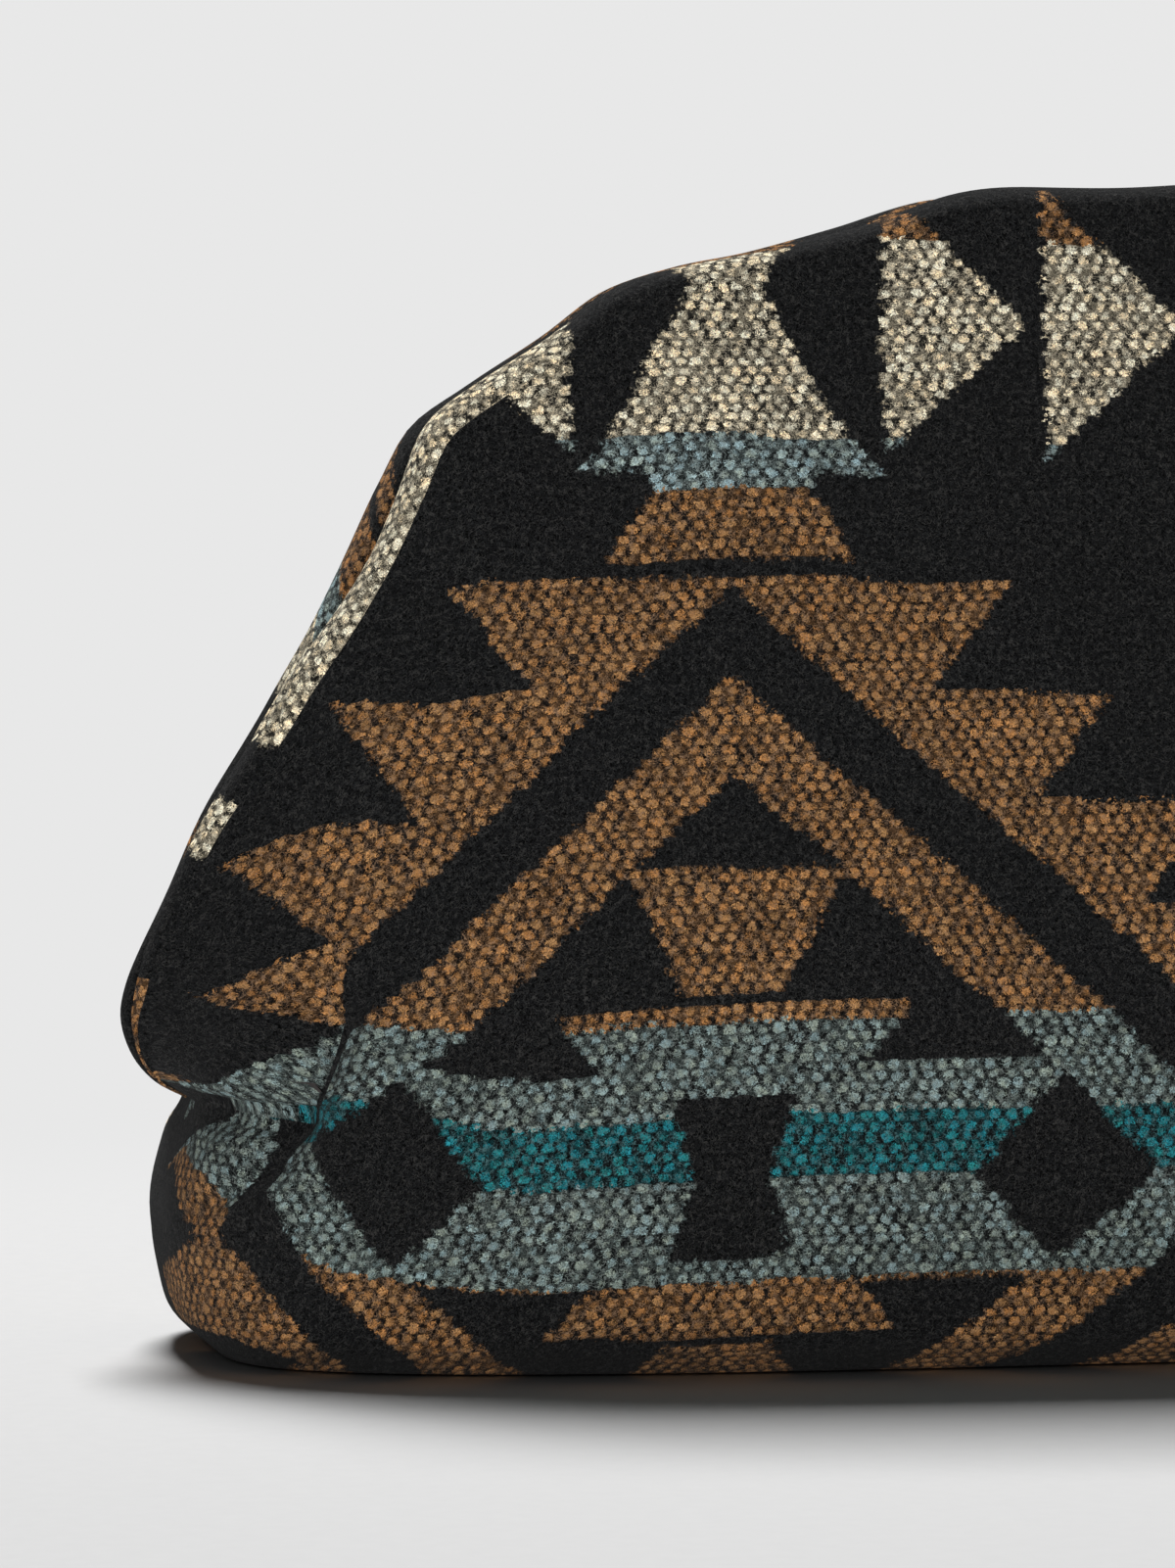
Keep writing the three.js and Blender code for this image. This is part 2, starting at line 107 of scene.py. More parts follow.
# Each half: seed of its unevenness, drop of its crown, and whether its edge has its own figure
HALVES = {"front": (11, -0.8, True), "back": (23, 0.2, False)}
# Soft unevenness: how many waves, their lengths, and what their sum is divided by
WAVES = 14
WAVE_LENGTHS = (28.0, 90.0)
WAVE_SUM = 4.0
# Where the pleat at each end of the crease lies, and how much cloth it takes up
PLEAT_U = 172.0
PLEAT_V = 8.0
PLEAT_WIDTH = 24.0
PLEAT_DEPTH = 5.5
# Where cloth is tucked under the crease, and how much for each millimetre along it
TUCK_START = 142.0
TUCK_END = 182.0
TUCK_SLOPE = 0.42
# Points nearer than this are merged, and shorter edges than this dissolved, in metres
MERGE_LENGTH = 1e-5
DISSOLVE_LENGTH = 1e-6
# Upper lining: columns left out at each end, seam above and behind the hem, room at the middle, rows
LINING_ENDS = 6
SEAM_LAP = 1.5
SEAM_BEHIND = 1.2
MIDDLE_ROOM = 0.2
LINING_ROWS = (8, 6)
# Lower lining: the tub's half length and half depth, and the lining's least height
TUB_HALF = (184.0, 55.0)
LINING_FLOOR = 5.9

# The figure on the cloth: its axes, half its repeat each way, lean, tilt, and shift at the back
AXIS_U = -107.0
AXIS_V = -15.0
HALF_REPEAT = 100.0
HALF_RISE = 174.0
SKEW = 0.059
TILT = 0.05
BACK_SHIFT = 51.0
# The figure on the front's rolled edge: heights, then distances across and up from its centre
EDGE_HEIGHTS = (40.0, 55.0, 59.0, 68.0, 75.0, 83.5, 92.5, 104.0, 107.0, 146.0)
EDGE_ACROSS = (10.0, 10.0, 30.0, 74.6, 58.6, 47.6, 35.0, 24.4, 41.6, 24.6)
EDGE_UP = (160.0, 160.0, 168.0, 160.0, 141.0, 141.0, 141.0, 141.0, 131.0, 131.0)
# Heights between which the edge's figure gives way to the face's. The change-over leaves a thin line of
# the ground's black where the strip meets the cream field, kept narrow as painted shade of the fold
# there
EDGE_END_Z = (146.0, 149.0)
# Bands of yarn: lower edge above the figure's centre, and colour
BANDS = (
    (-174.0, "brown"), (-144.0, "cream"), (-111.0, "pale"), (-102.0, "brown"), (-17.2, "grey"),
    (-0.4, "teal"), (8.4, "grey"), (22.0, "brown"), (102.0, "pale"), (111.0, "cream"), (144.0, "brown"),
)
# Lozenge band: top, notch at its middle (half width, growth, top), lozenge (place, half sizes)
BAND_TOP = 16.6
NOTCH = (5.6, 0.31, 12.0)
LOZENGE = (50.0, 13.4, 15.6)
# Chevrons: slope, then place and half width of the chevron and of the gap beside it
CHEVRON_SLOPE = 0.93
CHEVRON = (67.2, 7.5)
CHEVRON_GAP = (81.5, 6.8)
# Level strips: lowest and highest place, half width at the bottom, and its growth upwards
STRIPS = (
    (16.0, 25.5, 18.7, 0.79), (26.9, 45.6, 7.75, 0.425), (92.6, 102.0, 18.74, -0.6),
    (101.9, 107.0, 11.15, 0.5), (106.3, 111.5, 22.7, -1.0),
)
# Saw-toothed wings: the slant they start from, top, reach at the top, and sizes of a tooth
WING_SLANT = 88.4
WING_TOP = 89.8
WING_REACH = 41.0
TOOTH_RISE = 16.9
TOOTH_STEP = 15.6
TOOTH_CUT = 12.0
# Trunk: foot, height of its waist, half width there, and growth away from it
TRUNK_FOOT = 111.0
TRUNK_WAIST = 135.5
TRUNK_HALF = 5.4
TRUNK_FLARE = 0.514
# Row of arrows: middle height, length, pitch, and where the row starts and ends
ARROW_MIDDLE = 131.0
ARROW_LENGTH = 21.8
ARROW_PITCH = 24.4
ARROWS_FROM = 23.2
ARROWS_TO = 95.4

# How far dots and stray fibres carry the figure's edge, and how much fibres vary
EDGE_HOLD = 0.65
EDGE_FRAY = 1.8
FIBRE_SPREAD = 4.4
# How far the dye of single yarns strays to warm and to cool
WARM_YARN = (1.06, 0.975, 0.87, 1.0)
COOL_YARN = (0.94, 1.025, 1.13, 1.0)
# Stray hairs: scale and offset of each layer, and colours on the ground and on the figure
HAIR_LAYERS = ((0.7, 0.0), (1.0, 53.0), (1.4, 131.0))
GROUND_HAIR = (0.05, 0.049, 0.047, 1.0)
FIGURE_HAIR = (0.30, 0.29, 0.27, 1.0)
# Width of the twill's ribs, and colours of the metals and the stiffener
RIB_WIDTH = 0.9
STEEL = (0.55, 0.56, 0.57)
BRASS = (0.62, 0.46, 0.22)
BOARD_DARK = (0.20, 0.17, 0.13, 1.0)
BOARD_LIGHT = (0.36, 0.32, 0.27, 1.0)

# Floor: radius, its paper's shares of the backdrop's colour, and where the bag's shadow fades out
FLOOR_RADIUS = 8.0
PAPER_SHARES = (0.80, 0.83)
SHADOW_FADE = (0.17, 0.40)
# Lamps: place, the place that the lamp points at, and its width and height
KEY_LAMP = ((-0.45, -1.4, 0.20), (0.0, 0.0, 0.09), (1.2, 0.4))
TOP_LAMP = ((0.0, 1.9, 3.5), (0.0, -0.05, 0.0), (1.3, 1.3))


class BagSizes(bpy.types.PropertyGroup):
    """Sizes of the cloth pieces."""

    roll_depth: FloatProperty(
        name="Roll depth", description="Front to back over one half's rolled edge",
        default=0.0129, unit="LENGTH",
    )
    roll_radius: FloatProperty(
        name="Roll radius", description="Radius of the rolled edge", default=0.005, unit="LENGTH",
    )
    hem: FloatProperty(
        name="Hem", description="Cloth turned in at the mouth", default=0.02, unit="LENGTH",
    )
    lining_gap: FloatProperty(
        name="Lining gap", description="From the cloth's face to the lining",
        default=0.0035, unit="LENGTH",
    )
    undulation: FloatProperty(
        name="Undulation", description="Height of the cloth's soft unevenness",
        default=0.0006, unit="LENGTH",
    )
    dot_pitch: FloatProperty(
        name="Dot pitch", description="From one dot of the weave to the next",
        default=0.0024, unit="LENGTH",
    )
    dot_row: FloatProperty(
        name="Dot row", description="From one row of the weave to the next",
        default=0.0015, unit="LENGTH",
    )


class BagColours(bpy.types.PropertyGroup):
    """Colours of the yarns, the lining and the stage."""

    black: FloatVectorProperty(
        name="Black", description="Ground of the cloth", subtype="COLOR",
        default=(0.0066, 0.0069, 0.0072),
    )
    cream: FloatVectorProperty(
        name="Cream", description="Cream yarn", subtype="COLOR", default=(0.625, 0.545, 0.39),
    )
    brown: FloatVectorProperty(
        name="Brown", description="Brown yarn", subtype="COLOR", default=(0.25, 0.124, 0.047),
    )
    grey: FloatVectorProperty(
        name="Grey", description="Grey-green yarn", subtype="COLOR", default=(0.144, 0.184, 0.172),
    )
    pale: FloatVectorProperty(
        name="Pale", description="Pale blue-grey yarn", subtype="COLOR",
        default=(0.208, 0.268, 0.262),
    )
    teal: FloatVectorProperty(
        name="Teal", description="Teal yarn", subtype="COLOR", default=(0.012, 0.118, 0.132),
    )
    lining: FloatVectorProperty(
        name="Lining", description="Twill lining", subtype="COLOR", default=(0.024, 0.021, 0.020),
    )
    backdrop: FloatVectorProperty(
        name="Backdrop", description="Floor and backdrop", subtype="COLOR",
        default=(0.807, 0.807, 0.807),
    )


class StageSettings(bpy.types.PropertyGroup):
    """Camera and lamps."""

    azimuth: FloatProperty(
        name="Azimuth", description="Camera's turn to the left of the front",
        default=math.radians(11.5), subtype="ANGLE",
    )
    elevation: FloatProperty(
        name="Elevation", description="Camera's height above level",
        default=math.radians(4.0), subtype="ANGLE",
    )
    distance: FloatProperty(
        name="Distance", description="Camera to the place that it looks at",
        default=1.25, unit="LENGTH",
    )
    target: FloatVectorProperty(
        name="Target", description="Place that the camera looks at", subtype="XYZ",
        default=(-0.12377, -0.03, 0.08667), unit="LENGTH",
    )
    lens: FloatProperty(name="Lens", description="Focal length in millimetres", default=195.0)
    key: FloatProperty(
        name="Key", description="Power of the lamp in front", default=16.0, unit="POWER",
    )
    top: FloatProperty(
        name="Top", description="Power of the lamp above and behind", default=215.0, unit="POWER",
    )
    ambient: FloatProperty(
        name="Ambient", description="Strength of the world's light", default=0.05,
    )


# Shape of the cloth


def smoothstep(x, low, high):
    """Rises smoothly from 0 at the low end to 1 at the high end."""
    t = np.clip((x - low) / (high - low), 0.0, 1.0)
    return t * t * (3.0 - 2.0 * t)


def falling(x, low, high):
    """Falls smoothly from 1 at the low end to 0 at the high end."""
    return 1.0 - smoothstep(x, low, high)


def hump(x, middle, width):
    """One at the middle, and less the further away."""
    return np.exp(-(((x - middle) / width) ** 2))


def softplus(x, soft=4.0):
    """Nothing below zero, x above it, and a soft bend between."""
    return soft * np.logaddexp(0.0, x / soft)


def loft(guides, rows):
    """Points on smooth curves through the guides, with a number of rows from each to the next."""
    guides = np.asarray(guides, float)
    span = np.diff(guides, axis=0)
    gaps = np.sqrt(np.maximum(np.linalg.norm(span, axis=2), 1e-3))[..., None]
    steps = span / gaps
    tangents = np.empty_like(guides)
    tangents[0] = steps[0]
    tangents[-1] = steps[-1]
    across = (guides[2:] - guides[:-2]) / (gaps[:-1] + gaps[1:])
    tangents[1:-1] = steps[:-1] - across + steps[1:]
    out = [guides[:1]]
    for k, count in enumerate(rows):
        t = (np.arange(1, count + 1) / count)[:, None, None]
        near = 2 * t**3 - 3 * t**2 + 1
        leaving = (t**3 - 2 * t**2 + t) * gaps[k] * tangents[k]
        arriving = (t**3 - t**2) * gaps[k] * tangents[k + 1]
        out.append(near * guides[k] + (1 - near) * guides[k + 1] + leaving + arriving)
    return np.concatenate(out)


def spaced(points, shares):
    """Points at shares of the length along a dense line of points."""
    length = np.concatenate([[0.0], np.cumsum(np.linalg.norm(np.diff(points, axis=0), axis=1))])
    return np.stack([np.interp(shares * length[-1], length, axis) for axis in points.T], 1)


def from_end(shares):
    """How far each share is from the nearer end, 1 being the middle."""
    return 1.0 - np.abs(2.0 * shares - 1.0)


def on_side(points, back):
    """Points of the front, or their mirror image at the back."""
    return points * (1.0, -1.0 if back else 1.0, 1.0)


def height_along(points):
    """Length up each column of a grid of points, as seen from the bag's end."""
    rise = np.diff(points, axis=0)
    return np.pad(np.cumsum(np.hypot(rise[..., 1], rise[..., 2]), axis=0), ((1, 0), (0, 0)))


def half_ring(ring, shares):
    """The tub's plan outline from its left end round the front to its right end."""
    half_length, half_depth, squareness, end_z, middle_z = ring
    t = np.linspace(0.0, 1.0, 4001)
    turn = (t - np.sin(2 * np.pi * t) / (2 * np.pi)) * np.pi / 2
    power = 2.0 / squareness
    x = half_length * np.cos(turn).clip(0) ** power
    y = half_depth * np.sin(turn) ** power
    quarter = spaced(np.stack([x, y], 1), from_end(shares))
    z = end_z + (middle_z - end_z) * smoothstep(quarter[:, 1] / half_depth, 0.62, 1.0)
    return np.stack([np.sign(shares - 0.5) * quarter[:, 0], -quarter[:, 1], z], 1)


OUTLINE_LINE = loft(np.array(OUTLINE)[:, None, :], [12] * (len(OUTLINE) - 1))[:, 0]


def beside_outline(shares, inset, y):
    """Points beside the mouth's outline: inset is towards the inside of the bag."""
    along = from_end(shares)
    at = spaced(OUTLINE_LINE, along)
    step = 0.004
    before = spaced(OUTLINE_LINE, np.clip(along - step, 0, 1))
    after = spaced(OUTLINE_LINE, np.clip(along + step, 0, 1))
    ahead = after - before
    ahead[along > 1 - step] = (-1.0, 0.0)
    ahead /= np.linalg.norm(ahead, axis=1)[:, None]
    x = at[:, 0] - ahead[:, 1] * inset
    z = at[:, 1] + ahead[:, 0] * inset
    return np.stack([np.sign(shares - 0.5) * x, np.broadcast_to(y, along.shape), z], 1)


def mouth_shares(shares):
    """Where along the mouth each column ends: the keys, smoothed by three running means."""
    half = np.linspace(0.0, 1.0, 801)
    keyed = np.interp(half, RING_KEYS, MOUTH_KEYS)
    reach = 30
    for _ in range(3):
        padded = np.pad(keyed, reach, mode="reflect", reflect_type="odd")
        keyed = np.convolve(padded, np.ones(2 * reach + 1) / (2 * reach + 1), "valid")
    keyed = (keyed - keyed[0]) / (keyed[-1] - keyed[0])
    along = np.interp(from_end(shares), half, keyed)
    return np.where(shares < 0.5, along / 2, 1.0 - along / 2)


def mouth_sizes(mouth, sizes):
    """Depth and radius of the rolled edge, and depth of the hem, along the mouth."""
    height = beside_outline(mouth, 0.0, 0.0)[:, 2]
    depth = PINCH_DEPTH + (LOBE_DEPTH - PINCH_DEPTH) * smoothstep(height, *LOBE_Z)
    depth = depth + (sizes.roll_depth / MM - LOBE_DEPTH) * smoothstep(height, *FLANK_Z)
    radius = np.minimum(sizes.roll_radius / MM, (depth - MOUTH_GAP) * ROLL_SHARE)
    hem = SHORT_HEM + (sizes.hem / MM - SHORT_HEM) * smoothstep(height, *HEM_Z)
    hem = np.minimum(hem, np.maximum(radius + 0.4, (height - PINCH_Z) * 0.5))
    return depth, radius, hem


def upper_guides(shares, sizes, drop):
    """Guide lines of one half above the crease: face, rolled edge, hem. The drop lowers the crown."""
    crease = half_ring(CREASE_RING, shares)
    mouth = mouth_shares(shares)
    depth, radius, hem = mouth_sizes(mouth, sizes)
    lower = drop * smoothstep(beside_outline(mouth, 0.0, 0.0)[:, 2], *CROWN_Z)
    ridge = beside_outline(mouth, radius + lower, -depth)
    guides = []
    for t in FACE_SHARES:
        face = crease + (ridge - crease) * t
        face[:, 1] = crease[:, 1] + (ridge[:, 1] - crease[:, 1]) * t**FACE_BOW
        guides.append(face)
    corner = radius * (1.0 - math.sqrt(0.5))
    guides += [
        ridge,
        beside_outline(mouth, corner + lower, corner - depth),
        beside_outline(mouth, lower, radius - depth),
        beside_outline(mouth, lower, -MOUTH_GAP - radius),
        beside_outline(mouth, corner + lower, -MOUTH_GAP - corner),
        beside_outline(mouth, radius + lower, -MOUTH_GAP),
        beside_outline(mouth, hem + lower, -MOUTH_GAP),
    ]
    return guides


def outward(surface):
    """Unit normals of a grid of points, away from the bag."""
    along = np.gradient(surface, axis=1)
    up = np.gradient(surface, axis=0)
    normal = np.cross(along, up)
    return normal / np.maximum(np.linalg.norm(normal, axis=2), 1e-9)[..., None]


def soft_waves(u, v, seed):
    """A smooth uneven field over the cloth, within about 1 either way."""
    random = np.random.default_rng(seed)
    field = np.zeros_like(u)
    for _ in range(WAVES):
        length = random.uniform(*WAVE_LENGTHS)
        turn = random.uniform(0.0, math.pi)
        phase = random.uniform(0.0, 2 * math.pi)
        field += np.sin((u * math.cos(turn) + v * math.sin(turn)) * 2 * math.pi / length + phase)
    return field / WAVE_SUM


def pleat_line(v):
    """How far from the middle the pleat lies at each height on the cloth."""
    above = 0.5 * np.clip(v, 0.0, 17.0)
    below = 0.6 * np.minimum(v, 0.0)
    far_below = 1.4 * np.minimum(v + 8.0, 0.0)
    return PLEAT_U - above - below - far_below


def pleat_depth(u, v):
    """How far the pleats at the ends of the crease draw the cloth in."""
    out = np.abs(u)
    beside = out - pleat_line(v)
    valley = PLEAT_DEPTH * hump(v, 6.0, 15.0) * hump(beside, 0.0, 4.6)
    lobe = 2.0 * hump(v, 14.0, 14.0) * hump(beside, 11.0, 7.0)
    ends = smoothstep(beside, -4.0, 4.0) * falling(out, 186.0, 198.0)
    tuck = 3.5 * hump(v, 0.0, 2.8) * ends
    return valley + tuck - lobe


def eased(u, v, upper, folded_in):
    """Places of the figure after spare cloth is tucked into the pleats and the crease."""
    u = u - SKEW * np.clip(v - AXIS_V, AXIS_V, -10.0 * AXIS_V)
    out = np.abs(u)
    beside = out - pleat_line(v)
    soft = 1.5 + 0.2 * np.clip(v - 18.0, 0.0, 40.0) + 0.8 * np.clip(-3.0 - v, 0.0, 12.0)
    past = smoothstep(beside / soft, -1.0, 1.0)
    fade = np.where(v > PLEAT_V, 14.0 + 0.25 * np.clip(beside, 0.0, 24.0), 28.0)
    hidden = PLEAT_WIDTH * hump(v, PLEAT_V, fade) * past
    tuck = TUCK_SLOPE * (softplus(out - TUCK_START) - softplus(out - TUCK_END))
    tilt = TILT * np.clip(u + 100.0, -60.0, 60.0) * smoothstep(v, 0.0, 80.0)
    if upper:
        near = tuck * (1.0 - past) * falling(v, 5.0, 35.0)
        fold = 8.0 * hump(beside, 0.0, 9.0) * past * falling(v, 18.0, 32.0)
        lobe = 2.0 * smoothstep(beside, 8.0, 18.0) * falling(v, 25.0, 60.0)
        lift = 3.5 * smoothstep(out, 148.0, 168.0) * smoothstep(v, 10.0, 40.0)
        down = near + fold - lobe + lift
        turned = 15.0 * smoothstep(out, 170.0, 180.0) + 5.0 * smoothstep(out, 186.0, 190.0)
        hidden = hidden + folded_in * turned * falling(v, 4.0, 14.0)
    else:
        end = 6.0 * smoothstep(out, 179.0, 192.0) + 5.5 * smoothstep(out, 192.0, 208.0)
        under_crease = smoothstep(v + 0.44 * np.maximum(out - 187.0, 0.0), -0.8, 0.8)
        end = end * falling(-v, 11.0, 26.0) * (1.0 - folded_in * under_crease)
        under = (1.5 + 5.5 * smoothstep(out, 110.0, 160.0)) * smoothstep(-v, 20.0, 40.0)
        down = tuck + end + under
        turned = 5.0 * smoothstep(out, 176.0, 190.0) * falling(-v, 6.0, 20.0)
        spread = 0.9 * softplus(out - TUCK_END) * smoothstep(-v, 8.0, 18.0)
        hidden = hidden + folded_in * turned - spread
    return u + np.sign(u) * hidden, v - down + tilt


class HalfCloth:
    """One half of the outer cloth in rows of points, from the middle of the floor to the hem."""

    def __init__(self, sizes, seed, drop, edged):
        shares = np.linspace(0.0, 1.0, COLUMNS + 1)
        rings = [half_ring(ring, shares) for ring in TUB_RINGS]
        wall = loft(rings + upper_guides(shares, sizes, drop), TUB_ROWS + UPPER_ROWS)
        crease = sum(TUB_ROWS)
        u, v = self.cloth_places(wall, crease)
        lift = soft_waves(u, v, seed) * sizes.undulation / MM - pleat_depth(u, v)
        off_floor = smoothstep(wall[..., 2], 4.0, 14.0)
        off_ends = smoothstep(from_end(shares), 0.0, 0.1)
        lift = lift * (off_floor * off_ends)
        wall = wall + outward(wall) * lift[..., None]
        spine = rings[0].copy()
        half_length, reach, _, floor_z, _ = FLOOR_RING
        spine[:, 0] *= (half_length - reach) / half_length
        spine[:, 1] = 0.0
        t = np.linspace(0.0, 1.0, FLOOR_ROWS + 1)[:-1, None]
        floor = spine + (wall[0] - spine) * t[..., None]
        floor[..., 2] = floor_z * t**4
        self.points = np.concatenate([floor, wall])
        self.u = np.concatenate([spine[:, 0] + (u[0] - spine[:, 0]) * t, u])
        self.v = np.concatenate([v[0] - reach * (1.0 - t), v])
        self.crease = FLOOR_ROWS + crease
        self.ridge = self.crease + RIDGE_ROWS
        self.outline = beside_outline(mouth_shares(shares), 0.0, 0.0)
        self.edged = edged

    @staticmethod
    def cloth_places(wall, crease):
        """Where each point lies on the flat cloth: u from the middle, v up from the crease."""
        along = np.diff(wall, axis=1)
        across = np.cumsum(np.hypot(along[..., 0], along[..., 1]), axis=1)
        across = np.pad(across, ((0, 0), (1, 0)))
        u = across - across[:, COLUMNS // 2, None]
        up = height_along(wall)
        return u, up - up[crease]

    def rows(self, first, last, back=False):
        """A stretch of rows: points, weave places, figure places. The back runs on from the floor."""
        part = slice(first, last)
        points = on_side(self.points[part], back)
        u, v = eased(self.u[part], self.v[part], first >= self.crease, float(self.edged))
        weave = (self.u[part], self.v[part])
        if first >= self.ridge:
            weave = self.edge_weave(part)
            if self.edged:
                u, v = self.edge_figure(u, v)
        if back:
            u = u + BACK_SHIFT
            v = 2.0 * self.v[0] - v
        return points, weave, (u, v), back

    def edge_weave(self, part):
        """The weave follows the rolled edge: along the mouth's outline, and over the roll."""
        step = np.linalg.norm(np.diff(self.outline, axis=0), axis=1)
        along = np.pad(np.cumsum(step), (1, 0))
        along = along - along[COLUMNS // 2]
        over = np.linalg.norm(np.diff(self.points[part], axis=0), axis=2)
        over = np.pad(np.cumsum(over, axis=0), ((1, 0), (0, 0)))
        return np.broadcast_to(along, over.shape), over

    def edge_figure(self, u, v):
        """The figure runs along the rolled edge on the flanks, and on from the face at the crown."""
        height = self.outline[:, 2]
        # The change-over draws a thin black line: painted shade of the fold where the strip meets the
        # cream field
        share = falling(height, *EDGE_END_Z)
        across = np.interp(height, EDGE_HEIGHTS, EDGE_ACROSS)
        up = np.interp(height, EDGE_HEIGHTS, EDGE_UP)
        left = AXIS_U - across
        right = AXIS_U + 2.0 * HALF_REPEAT + across
        beside = np.where(self.outline[:, 0] < 0.0, left, right)
        return u + (beside - u) * share, v + (up + AXIS_V - v) * share


def cloth_half(name):
    """The cloth of the front or the back."""
    return HalfCloth(bpy.context.scene.bag_sizes, *HALVES[name])


def grid_mesh(name, grids):
    """A mesh object from grids of points, with UV maps of their weave and figure places."""
    points, faces, weaves, figures = [], [], [], []
    for grid, weave, figure, flipped in grids:
        rows, columns = grid.shape[:2]
        base = sum(len(p) for p in points)
        index = np.arange(rows * columns).reshape(rows, columns) + base
        corners = (index[:-1, :-1], index[:-1, 1:], index[1:, 1:], index[1:, :-1])
        quads = np.stack(corners, 2).reshape(-1, 4)
        faces.append(quads[:, ::-1] if flipped else quads)
        points.append(grid.reshape(-1, 3) * MM)
        weaves.append(np.stack(weave, 2).reshape(-1, 2))
        figures.append(np.stack(figure, 2).reshape(-1, 2))
    mesh = bpy.data.meshes.new(name)
    mesh.from_pydata(np.concatenate(points).tolist(), [], np.concatenate(faces).tolist())
    loops = np.empty(len(mesh.loops), np.int32)
    mesh.loops.foreach_get("vertex_index", loops)
    for map_name, places in ((WEAVE_MAP, weaves), (FIGURE_MAP, figures)):
        layer = mesh.uv_layers.new(name=map_name)
        layer.uv.foreach_set("vector", np.concatenate(places)[loops].astype(np.float32).ravel())
    piece = bpy.data.objects.new(name, mesh)
    bpy.context.collection.objects.link(piece)
    bpy.ops.object.select_all(action="DESELECT")
    piece.select_set(True)
    bpy.context.view_layer.objects.active = piece
    bpy.ops.object.mode_set(mode="EDIT")
    bpy.ops.mesh.select_all(action="SELECT")
    bpy.ops.mesh.remove_doubles(threshold=MERGE_LENGTH)
    bpy.ops.mesh.dissolve_degenerate(threshold=DISSOLVE_LENGTH)
    bpy.ops.object.mode_set(mode="OBJECT")
    bpy.ops.object.shade_smooth()
    return piece


# Materials


class Value:
    """A node's output that can be used in expressions."""

    def __init__(self, finish, socket):
        self.finish = finish
        self.socket = socket

    def math(self, operation, *others):
        sockets = dict(enumerate((self, *others)))
        return self.finish.add("ShaderNodeMath", {"operation": operation}, sockets)

    def __add__(self, other):
        return self.math("ADD", other)

    def __sub__(self, other):
        return self.math("SUBTRACT", other)

    def __rsub__(self, other):
        return self.finish.add("ShaderNodeMath", {"operation": "SUBTRACT"}, {0: other, 1: self})

    def __mul__(self, other):
        return self.math("MULTIPLY", other)

    def __truediv__(self, other):
        return self.math("DIVIDE", other)

    def __abs__(self):
        return self.math("ABSOLUTE")

    def floor(self):
        return self.math("FLOOR")

    def least(self, other):
        return self.math("MINIMUM", other)

    def most(self, other):
        return self.math("MAXIMUM", other)

    def folded(self, half):
        return self.math("PINGPONG", half)

    def smooth(self, low, high, to_low=0.0, to_high=1.0):
        settings = {"interpolation_type": "SMOOTHSTEP"}
        sockets = {0: self, 1: low, 2: high, 3: to_low, 4: to_high}
        return self.finish.add("ShaderNodeMapRange", settings, sockets)

    def other(self, output):
        """Another output of the same node."""
        return Value(self.finish, self.socket.node.outputs[output])


